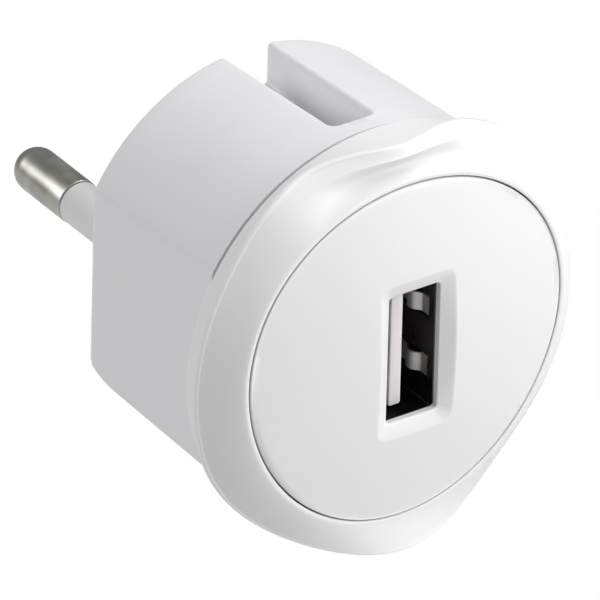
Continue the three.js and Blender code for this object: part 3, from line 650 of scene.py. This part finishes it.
def rim_radius(angle):
    """Radius of the rim: a little fuller at its shoulders and hips, a little flat on top."""
    top = from_top(angle)
    shoulders = RIM_SHOULDERS * bump(top - 37, 15)
    hips = RIM_HIPS * bump(top - 118, 20)
    return RIM_RADIUS + shoulders + hips - RIM_TOP_CUT * bump(top, 14)


def rim_y(angle):
    """Depth of the rim: it sweeps forward into a lip at the top and a chin at the bottom."""
    top = from_top(angle)
    lip = LIP_FORWARD * bump(top, 13)
    notch = NOTCH_BACK * bump(top - 25, 8)
    chin = CHIN_FORWARD * bump(180 - top, 28)
    return RIM_Y - lip + notch - chin


def face_y(angle, out):
    """Depth of the flange's face; out is 0 at the ring round the disc and 1 at the rim."""
    slope = (rim_y(angle) - FACE_Y) * out**FACE_SLOPE_POWER
    around = math.exp(-((from_top(angle) / SCOOP_HALF_TURN) ** 4))
    across = math.sin(math.pi * min(1.0, out / SCOOP_END) ** SCOOP_SKEW)
    return FACE_Y + slope + SCOOP_DEPTH * around * across


def flange_profile(angle):
    """(radius, y) pairs once round the flange's section."""
    ring_width = 0.32
    ring_edge = 0.13
    rim_edge = 0.3
    back_edge = 0.18
    face_steps = 28
    edge_steps = 6
    seat = disc_radius(angle) + DISC_GAP
    rim = rim_radius(angle) - 0.02
    crest = rim_y(angle)
    inner = seat + ring_width
    outer = rim - rim_edge * 0.6
    profile = [(FLANGE_BORE, DISC_SEAT_Y), (seat, DISC_SEAT_Y), (seat, FACE_Y + ring_edge)]
    profile += arc(seat + ring_edge, FACE_Y + ring_edge, ring_edge, 180, 270, 4)
    for i in range(face_steps + 1):
        out = i / face_steps
        profile.append((inner + (outer - inner) * out, face_y(angle, out)))
    for i in range(1, edge_steps + 1):
        turn = math.radians(90 * i / edge_steps)
        radius = outer + 0.6 * rim_edge * math.sin(turn)
        profile.append((radius, crest + rim_edge * (1 - math.cos(turn))))
    profile += [
        (rim - 0.01, crest + rim_edge + 0.12),
        (rim - 0.03, crest + rim_edge + 0.3),
        (FLANGE_BACK_RADIUS, FLANGE_BACK_Y - back_edge * 2),
    ]
    back_x = FLANGE_BACK_RADIUS - back_edge
    profile += arc(back_x, FLANGE_BACK_Y - back_edge, back_edge, 0, 90, 3)
    profile += [(FLANGE_BORE + 0.3, FLANGE_BACK_Y), (FLANGE_BORE, FLANGE_BACK_Y - 1)]
    return profile


def front_flange():
    """The flange as one closed ring of sections."""
    steps = 360
    sections = []
    for i in range(steps):
        angle = TAU * i / steps
        across, up = math.cos(angle), math.sin(angle)
        sections.append([(r * across, y, r * up) for r, y in flange_profile(angle)])
    points, faces = loft(sections, closed=True)
    add_piece("flange_ring", points, faces, FRONT_WHITE, "body", ["front_flange"], 50)


# ---------------------------------------------------------------- front disc
# Points along each side and corner of a rounded rectangle, and the turns that match them.
LONG_SIDE = 64
SHORT_SIDE = 26
CORNER = 12
LONG_TURN = 97.0
SHORT_TURN = 55.0
CORNER_TURN = 14.0


def rounded_rectangle(half_x, half_z, corner):
    """Points round a rounded rectangle, always the same number, from the lower right corner up."""
    points = []
    mid_x = half_x - corner
    mid_z = half_z - corner
    sides = [
        ((half_x, -mid_z), (half_x, mid_z), LONG_SIDE, (mid_x, mid_z), 0),
        ((mid_x, half_z), (-mid_x, half_z), SHORT_SIDE, (-mid_x, mid_z), 90),
        ((-half_x, mid_z), (-half_x, -mid_z), LONG_SIDE, (-mid_x, -mid_z), 180),
        ((-mid_x, -half_z), (mid_x, -half_z), SHORT_SIDE, (mid_x, -mid_z), 270),
    ]
    for (x0, z0), (x1, z1), count, centre, angle in sides:
        for i in range(count):
            share = i / count
            points.append((x0 + (x1 - x0) * share, z0 + (z1 - z0) * share))
        points += arc(*centre, corner, angle, angle + 90, CORNER)[:-1]
    return points


def matching_circle(radius_at):
    """Points on a round outline, one for each point of a rounded rectangle."""
    angle = -LONG_TURN / 2
    points = []
    for side, turn in ((LONG_SIDE, LONG_TURN), (SHORT_SIDE, SHORT_TURN)) * 2:
        for count, sweep in ((side, turn), (CORNER, CORNER_TURN)):
            for i in range(count):
                a = math.radians(angle + sweep * i / count)
                points.append((radius_at(a) * math.cos(a), radius_at(a) * math.sin(a)))
            angle += sweep
    return points


def dome_y(x, z):
    """Depth of the domed face over a point."""
    reach = min(math.hypot(x, z), DISC_RADIUS + 1)
    return DISC_LOW[1] + DOME_SPHERE - math.sqrt(DOME_SPHERE**2 - reach**2)


def between(first, second, share):
    """An outline part of the way from one outline to another."""
    return [
        (p[0] * (1 - share) + q[0] * share, p[1] * (1 - share) + q[1] * share)
        for p, q in zip(first, second)
    ]


def flat_ring(outline, y):
    """An outline set at one depth."""
    return [(x, y, z) for x, z in outline]


def domed_ring(outline, sink=0.0):
    """An outline laid on the dome, or sunk some way behind it."""
    return [(x, dome_y(x, z) + sink, z) for x, z in outline]


def port_throat(hole):
    """Rings from the shell's seat forward through the port to the rounded edge of its mouth."""
    edge = 0.12
    edge_steps = 3
    stop_y = SHELL_FRONT_Y - 0.03
    seat = rounded_rectangle(*hole, PORT_CORNER)
    port = rounded_rectangle(PORT_HALF_X, PORT_HALF_Z, PORT_CORNER)
    rings = [flat_ring(seat, DISC_SEAT_Y), flat_ring(seat, stop_y), flat_ring(port, stop_y)]
    rings.append(flat_ring(port, PORT_Y + edge))
    for i in range(1, edge_steps + 1):
        turn = math.radians(60 * i / edge_steps)
        grow = edge * (1 - math.cos(turn))
        mouth = rounded_rectangle(PORT_HALF_X + grow, PORT_HALF_Z + grow, PORT_CORNER + grow)
        rings.append(flat_ring(mouth, PORT_Y + edge * (1 - math.sin(turn))))
    return rings


def port_bevel():
    """Rings of the straight bevel that leads from the port's mouth up to the domed face."""
    lip = 0.06
    steps = 8
    rings = []
    for i in range(1, steps + 1):
        rise = i / steps
        outline = rounded_rectangle(
            PORT_HALF_X + lip + (RECESS_HALF_X - PORT_HALF_X) * rise,
            PORT_HALF_Z + lip + (RECESS_HALF_Z - PORT_HALF_Z) * rise,
            PORT_CORNER + lip + 0.65 * rise,
        )
        sunk_y = PORT_Y + 0.02
        rings.append([(x, dome_y(x, z) * rise + sunk_y * (1 - rise), z) for x, z in outline])
    return rings


def disc_face():
    """Rings of the domed face, from the bevel's outer edge round the disc's rounded rim."""
    margin = 0.16
    edge = 0.13
    face_steps = 18
    edge_steps = 4
    start = rounded_rectangle(RECESS_HALF_X + margin, RECESS_HALF_Z + margin, 1.2)
    circle = matching_circle(lambda a: disc_radius(a) - edge)
    rings = []
    for i in range(face_steps + 1):
        rings.append(domed_ring(between(start, circle, (i / face_steps) ** 0.9)))
    for i in range(1, edge_steps + 1):
        turn = math.radians(90 * i / edge_steps)
        outline = matching_circle(lambda a, s=math.sin(turn): disc_radius(a) - edge + edge * s)
        rim_top_y = dome_y(DISC_RADIUS - edge, 0)
        rings.append(flat_ring(outline, rim_top_y + edge * (1 - math.cos(turn))))
    return rings


def disc_back(hole):
    """Rings of the back: the rim's seat, the hollow of even thickness and the port's collar."""
    seat_radius = 12.4
    hollow_radius = 12.0
    thickness = 1.9
    collar_wall = 0.8
    steps = 6
    hollow = matching_circle(lambda a: hollow_radius)
    collar = rounded_rectangle(hole[0] + collar_wall, hole[1] + collar_wall, collar_wall)
    rings = [flat_ring(matching_circle(disc_radius), DISC_SEAT_Y)]
    rings.append(flat_ring(matching_circle(lambda a: seat_radius), DISC_SEAT_Y))
    for i in range(steps + 1):
        rings.append(domed_ring(between(hollow, collar, i / steps), thickness))
    rings.append(flat_ring(collar, DISC_SEAT_Y))
    return rings


def front_disc():
    """The domed disc with the bevelled port in its middle, as one closed ring of outlines."""
    clearance = 0.15
    hole = (SHELL_HIGH[0] + clearance, SHELL_HIGH[2] + clearance)
    rings = port_throat(hole) + port_bevel() + disc_face() + disc_back(hole)
    points, faces = loft(rings, closed=True)
    add_piece(
        "front_disc_domed", points, faces, FRONT_WHITE, "body", ["front_disc"], 50
    )


# ---------------------------------------------------------------- pins
def place_on_pin(rings, side):
    """Leans the rings of a bar along Y onto a pin's axis."""
    cosine = math.cos(side * PIN_LEAN)
    sine = math.sin(side * PIN_LEAN)
    base_x = side * PIN_BASE_X
    return [
        [(base_x + x * cosine - y * sine, x * sine + y * cosine, z) for x, y, z in ring]
        for ring in rings
    ]


def plug_pin(name, node, side):
    """A round-tipped pin, thinner where its sleeve covers it."""
    step_y = SLEEVE_END_Y + 0.04
    tip_y = PIN_TIP_Y - 0.01
    chamfer = 0.1
    edge = 0.12
    profile = [(0.001, PIN_INNER_Y), (CORE_RADIUS - chamfer, PIN_INNER_Y)]
    profile += [(CORE_RADIUS, PIN_INNER_Y + chamfer), (CORE_RADIUS, step_y)]
    profile += arc(PIN_RADIUS - edge, step_y + edge, edge, -90, 0, 4)
    profile += [(PIN_RADIUS, step_y + 3), (PIN_RADIUS, tip_y - 3.2)]
    profile += arc(0, tip_y - PIN_RADIUS, PIN_RADIUS, 0, 89.9, 18)
    points, faces = loft(place_on_pin(turned(profile), side), cap_first=True, cap_last=True)
    add_piece(name, points, faces, NICKEL, "body", [node])


def pin_sleeve(name, node, side):
    """The insulating sleeve round the pin's root."""
    edge = 0.16
    bore = CORE_RADIUS + 0.05
    profile = [(bore, SLEEVE_INNER_Y), (SLEEVE_RADIUS, SLEEVE_INNER_Y)]
    profile += [(SLEEVE_RADIUS, 0), (SLEEVE_RADIUS, SLEEVE_END_Y - edge)]
    profile += arc(SLEEVE_RADIUS - edge, SLEEVE_END_Y - edge, edge, 0, 90, 4)
    profile += [(bore, SLEEVE_END_Y)]
    points, faces = loft(place_on_pin(turned(profile), side), closed=True)
    add_piece(name, points, faces, SLEEVE_GREY, "body", [node])


# ---------------------------------------------------------------- USB socket
SPRINGS = [
    f"usb_spring_{row}_{side}" for side in ("right", "left") for row in ("upper", "lower")
]
CONTACTS = [f"usb_contact_{i}" for i in range(1, 5)]


def cut_boxes(piece, boxes):
    """Cuts axis-aligned boxes, given as x, y and z limits in millimetres, out of a piece."""
    for limits in boxes:
        corners = [
            (x * MM, y * MM, z * MM) for x in limits[0] for y in limits[1] for z in limits[2]
        ]
        mesh = bpy.data.meshes.new("cutter")
        bm = bmesh.new()
        for corner in corners:
            bm.verts.new(corner)
        bmesh.ops.convex_hull(bm, input=bm.verts)
        bm.to_mesh(mesh)
        bm.free()
        cutter = bpy.data.objects.new("cutter", mesh)
        bpy.context.scene.collection.objects.link(cutter)
        modifier = piece.modifiers.new("cut", "BOOLEAN")
        modifier.operation = "DIFFERENCE"
        modifier.solver = "EXACT"
        modifier.object = cutter
        bpy.context.view_layer.update()
        evaluated = piece.evaluated_get(bpy.context.evaluated_depsgraph_get())
        result = bpy.data.meshes.new_from_object(evaluated)
        piece.modifiers.clear()
        piece.data = result
        bpy.data.objects.remove(cutter)
    piece.data.shade_smooth()
    piece.data.set_sharp_from_angle(angle=math.radians(30))


def usb_shell():
    """The folded shell: a rounded tube with a slightly flared front lip and four windows."""
    half_x, half_z = SHELL_HIGH[0], SHELL_HIGH[2]
    rear_y = SHELL_HIGH[1]

    def ring(inset, y):
        corner = 0.5 - inset * 0.8
        return flat_ring(rounded_rectangle(half_x - inset, half_z - inset, corner), y)

    rings = [
        ring(0, rear_y),
        ring(0, SHELL_FRONT_Y + 0.1),
        ring(0.03, SHELL_FRONT_Y + 0.03),
        ring(0.1, SHELL_FRONT_Y),
        ring(SHELL_WALL - 0.1, SHELL_FRONT_Y + 0.02),
        ring(SHELL_WALL - 0.02, SHELL_FRONT_Y + 0.12),
        ring(SHELL_WALL, SHELL_FRONT_Y + 0.3),
        ring(SHELL_WALL, rear_y),
    ]
    points, faces = loft(rings, closed=True)
    piece = add_piece(
        "usb_shell_folded", points, faces, SHELL_STEEL_PAINTED_DARK, "body", ["usb_shell"]
    )
    cut_boxes(piece, [leaf_window(name) for name in SPRINGS])


def leaf_window(name):
    """Limits of the window in the shell's side that a leaf stands in."""
    low, high = node_box(name)
    side = 1 if high[0] > 0 else -1
    middle = 0.6 * side * SHELL_HIGH[0]
    outside = side * (SHELL_HIGH[0] + 1)
    depth = (low[1] - WINDOW_MARGIN, high[1] + WINDOW_MARGIN)
    height = (low[2] - WINDOW_MARGIN, high[2] + WINDOW_MARGIN)
    return (middle, outside), depth, height


def smooth_path(path, steps=6):
    """A denser curve through a path's points, with each point's slope taken from its neighbours."""
    curve = np.array(path, float)
    dense = []
    for i in range(len(curve) - 1):
        a, b = curve[i], curve[i + 1]
        slope_a = (b - curve[max(i - 1, 0)]) / 2
        slope_b = (curve[min(i + 2, len(curve) - 1)] - a) / 2
        for k in range(steps):
            t = k / steps
            dense.append(
                (2 * t**3 - 3 * t**2 + 1) * a
                + (t**3 - 2 * t**2 + t) * slope_a
                + (3 * t**2 - 2 * t**3) * b
                + (t**3 - t**2) * slope_b
            )
    dense.append(curve[-1])
    return dense


def ribbon(path, thickness, z_low, z_high, outward):
    """Rings of a flat strip that follows a path in X and Y, chamfered along its edges."""
    dense = smooth_path(path)
    rings = []
    edge = thickness * 0.25
    for i, point in enumerate(dense):
        ahead = dense[min(i + 1, len(dense) - 1)]
        behind = dense[max(i - 1, 0)]
        along = (ahead - behind) / np.linalg.norm(ahead - behind)
        normal = np.array([along[1], -along[0]]) * outward
        outer, inner = point, point - normal * thickness
        chamfer = normal * edge
        section = [
            (outer, z_low + edge),
            (outer, z_high - edge),
            (outer - chamfer, z_high),
            (inner + chamfer, z_high),
            (inner, z_high - edge),
            (inner, z_low + edge),
            (inner + chamfer, z_low),
            (outer - chamfer, z_low),
        ]
        rings.append([(p[0], p[1], z) for p, z in section])
    return rings


def usb_spring(name):
    """A leaf that grips the plug: a flat root, a rounded bump inwards and a flat tip."""
    low, high = node_box(name)
    side = 1 if high[0] > 0 else -1
    face = side * SHELL_HIGH[0]
    length = high[1] - low[1]
    reach = 0.58
    thickness = 0.26
    margin = 0.12
    # (share of the leaf's length, share of the bump's reach)
    shape = [
        (0, 0), (0.18, 0), (0.26, 0.3), (0.36, 0.95), (0.43, 1), (0.5, 0.75), (0.58, 0.05),
        (0.66, 0), (0.98, 0),
    ]
    path = [(face - side * reach * lift, low[1] + length * share) for share, lift in shape]
    rings = ribbon(path, thickness, low[2] + margin, high[2] - margin, side)
    points, faces = loft(rings, cap_first=True, cap_last=True)
    body = name.replace("usb_", "")
    add_piece(name + "_leaf", points, faces, SPRING_STEEL, body, [name], 30)


def usb_tongue():
    """The insulator: a chamfered tongue with four channels, standing on its rear block."""
    low, high = TONGUE_LOW, TONGUE_HIGH
    face_x = node_box(CONTACTS[0])[1][0] - 0.32
    back_x = face_x - 1.84
    half_z = 5.55
    root_y = -13.2
    nose = 0.18
    nose_relief = 0.6

    def outline(inset, y, relief=0.0):
        half_x = (face_x - back_x - relief) / 2
        middle = (face_x + back_x + relief) / 2
        shape = rounded_rectangle(half_x - inset, half_z - inset, 0.25 - inset * 0.5)
        return [(x + middle, y, z) for x, z in shape]

    def block_outline(inset, y):
        return flat_ring(rounded_rectangle(high[0] - inset, high[2] - inset, 0.45), y)

    rings = [
        outline(nose, low[1], nose_relief),
        outline(nose * 0.3, low[1] + nose * 0.4, nose_relief),
        outline(0, low[1] + nose, nose_relief),
        outline(0, low[1] + 0.9, nose_relief - 0.1),
        outline(0, low[1] + 1.6),
        outline(0, root_y),
        block_outline(0.05, root_y),
        block_outline(0, root_y + 0.1),
        block_outline(0, high[1]),
    ]
    points, faces = loft(rings, cap_first=True, cap_last=True)
    piece = add_piece(
        "usb_tongue_moulded", points, faces, TONGUE_LIGHT, "body", ["usb_tongue"]
    )
    channel_depth = 0.85
    channels = []
    for name in CONTACTS:
        blade_low, blade_high = node_box(name)
        across = (face_x - channel_depth, face_x + 0.5)
        along = (blade_low[1] - 0.4, high[1] + 1)
        height = (blade_low[2] - WINDOW_MARGIN, blade_high[2] + WINDOW_MARGIN)
        channels.append((across, along, height))
    cut_boxes(piece, channels)


def usb_contact(name):
    """A springing blade with its rounded bump, nosed down into the tongue at its tip."""
    low, high = node_box(name)
    thickness = 0.22
    margin = 0.02
    bump_height = 0.62
    flat_x = high[0] - 0.01 - bump_height
    # (depth, height over the blade's flat part)
    shape = [
        (high[1], 0), (-16, 0), (-19.4, 0), (-20.2, 0.2), (-20.8, 0.52), (-21.3, bump_height),
        (-21.8, 0.52), (low[1] + 0.05, 0.15),
    ]
    path = [(flat_x + lift, y) for y, lift in shape]
    rings = ribbon(path, thickness, low[2] + margin, high[2] - margin, -1)
    points, faces = loft(rings, cap_first=True, cap_last=True)
    body = name.replace("usb_", "")
    add_piece(name + "_blade", points, faces, GOLD_CONTACT, body, [name], 30)


# ---------------------------------------------------------------- stage, light and camera
def stage():
    """A plain pale floor far enough below the charger to keep it free of hard shadows."""
    size = 6.0
    drop = 0.12
    mesh = bpy.data.meshes.new("floor")
    bm = bmesh.new()
    bmesh.ops.create_grid(bm, x_segments=2, y_segments=2, size=size)
    bm.to_mesh(mesh)
    bm.free()
    floor = bpy.data.objects.new("floor", mesh)
    floor.location.z = CAD_LOW.z - drop
    bpy.context.scene.collection.objects.link(floor)
    material = bpy.data.materials.new("floor_white")
    material.use_nodes = True
    tree = material.node_tree
    shader = tree.nodes["Principled BSDF"]
    shader.inputs["Base Color"].default_value = (0.65, 0.65, 0.65, 1)
    shader.inputs["Roughness"].default_value = 0.9
    white = tree.nodes.new("ShaderNodeEmission")
    seen = tree.nodes.new("ShaderNodeLightPath")
    blend = tree.nodes.new("ShaderNodeMixShader")
    tree.links.new(seen.outputs["Is Camera Ray"], blend.inputs["Fac"])
    tree.links.new(shader.outputs[0], blend.inputs[1])
    tree.links.new(white.outputs[0], blend.inputs[2])
    tree.links.new(blend.outputs[0], tree.nodes["Material Output"].inputs["Surface"])
    mesh.materials.append(material)


def soft_light(name, direction, distance, size, power):
    """A round area light that looks at the charger from a direction."""
    data = bpy.data.lights.new(name, "AREA")
    data.shape = "DISK"
    data.size = size
    data.energy = power
    light = bpy.data.objects.new(name, data)
    away = Vector(direction).normalized()
    light.location = (CAD_LOW + CAD_HIGH) / 2 + away * distance
    light.rotation_mode = "QUATERNION"
    light.rotation_quaternion = (-away).to_track_quat("-Z", "Y")
    bpy.context.scene.collection.objects.link(light)


def lights():
    """Three soft lights and a faint even surrounding, which the camera sees as plain white."""
    soft_light("key", (0.34, -0.72, 0.39), 0.7, 0.5, 3.4)
    soft_light("left_fill", (-0.75, 0.5, 0.43), 0.8, 0.4, 2.75)
    soft_light("top_right", (0.55, -0.12, 0.82), 0.8, 0.5, 3.8)
    world = bpy.data.worlds.new("studio")
    world.use_nodes = True
    tree = world.node_tree
    background = tree.nodes["Background"]
    background.inputs["Color"].default_value = (1, 1, 1, 1)
    seen = tree.nodes.new("ShaderNodeLightPath")
    level = tree.nodes.new("ShaderNodeMapRange")
    level.inputs["To Min"].default_value = 0.2
    level.inputs["To Max"].default_value = 1.0
    tree.links.new(seen.outputs["Is Camera Ray"], level.inputs["Value"])
    tree.links.new(level.outputs[0], background.inputs["Strength"])
    bpy.context.scene.world = world


def camera():
    """A long lens from the front left, above: the photograph's viewing angle."""
    azimuth = math.radians(-35.98)
    elevation = math.radians(30.19)
    roll = math.radians(1.5)
    distance = 1.5
    focal_per_frame = 30.14
    right_shift = -0.0042
    up_shift = 0.00063
    middle = Vector((0, -0.016, 0))
    back = Vector((
        math.sin(azimuth) * math.cos(elevation),
        -math.cos(azimuth) * math.cos(elevation),
        math.sin(elevation),
    ))
    level = (-back).cross(Vector((0, 0, 1))).normalized()
    upright = level.cross(-back)
    right = level * math.cos(roll) + upright * math.sin(roll)
    up = upright * math.cos(roll) - level * math.sin(roll)
    target = middle + right * right_shift + up * up_shift
    data = bpy.data.cameras.new("camera")
    data.sensor_width = 36
    data.lens = data.sensor_width * focal_per_frame
    data.clip_start = 0.05
    data.clip_end = 30
    view = bpy.data.objects.new("camera", data)
    view.location = target + back * distance
    rotation = np.array([right, up, back]).T
    view.rotation_mode = "QUATERNION"
    view.rotation_quaternion = Matrix(rotation.tolist()).to_quaternion()
    bpy.context.scene.collection.objects.link(view)
    bpy.context.scene.camera = view


# ---------------------------------------------------------------- assembly
dress_cad_nodes()
rear_housing()
front_flange()
front_disc()
plug_pin("pin_right_nickel", "pin_right", 1)
plug_pin("pin_left_nickel", "pin_left", -1)
pin_sleeve("sleeve_right_moulded", "pin_sleeve_right", 1)
pin_sleeve("sleeve_left_moulded", "pin_sleeve_left", -1)
usb_shell()
usb_tongue()
for leaf_name in SPRINGS:
    usb_spring(leaf_name)
for contact_name in CONTACTS:
    usb_contact(contact_name)
stage()
lights()
camera()
bpy.context.scene.view_settings.view_transform = "Standard"
